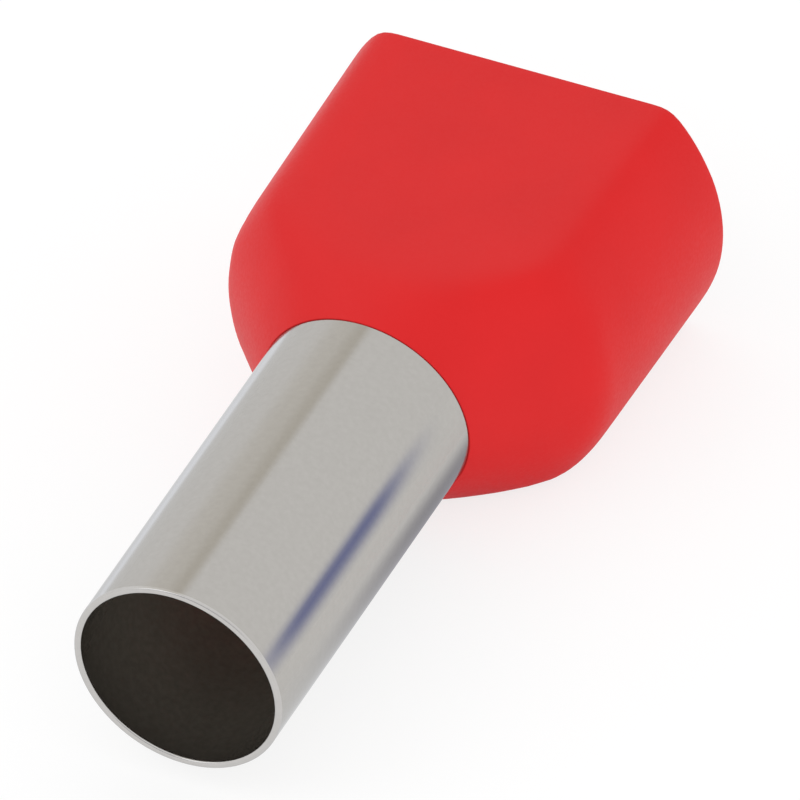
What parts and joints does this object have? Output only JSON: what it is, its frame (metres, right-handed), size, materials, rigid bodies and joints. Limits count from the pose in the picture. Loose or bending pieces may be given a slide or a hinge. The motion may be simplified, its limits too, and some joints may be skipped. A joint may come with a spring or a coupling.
{
  "type": "twin wire ferrule",
  "caption": "Insulated twin wire ferrule: a round plated sleeve gripped by a red moulded collar with two flats, a conical shoulder and an oblong funnel for a pair of wires.",
  "frame": {"origin": "middle of the underside of the whole part's box: under the sleeve's axis, halfway along the length, on the collar's lower flat", "axes": "+Y along the sleeve's axis from its mouth towards the wire entry, +X across the collar's width, +Z out of the upper flat"},
  "size_m": [0.0132, 0.0254, 0.0086],
  "materials": {
    "plated_copper": "smooth bright tin plating with faint drawing lines along the tube",
    "red_plastic": "satin moulded polypropylene with a fine grain"
  },
  "bodies": {
    "root": {"sleeve": "plated_copper", "collar": "red_plastic"}
  },
  "joints": []
}
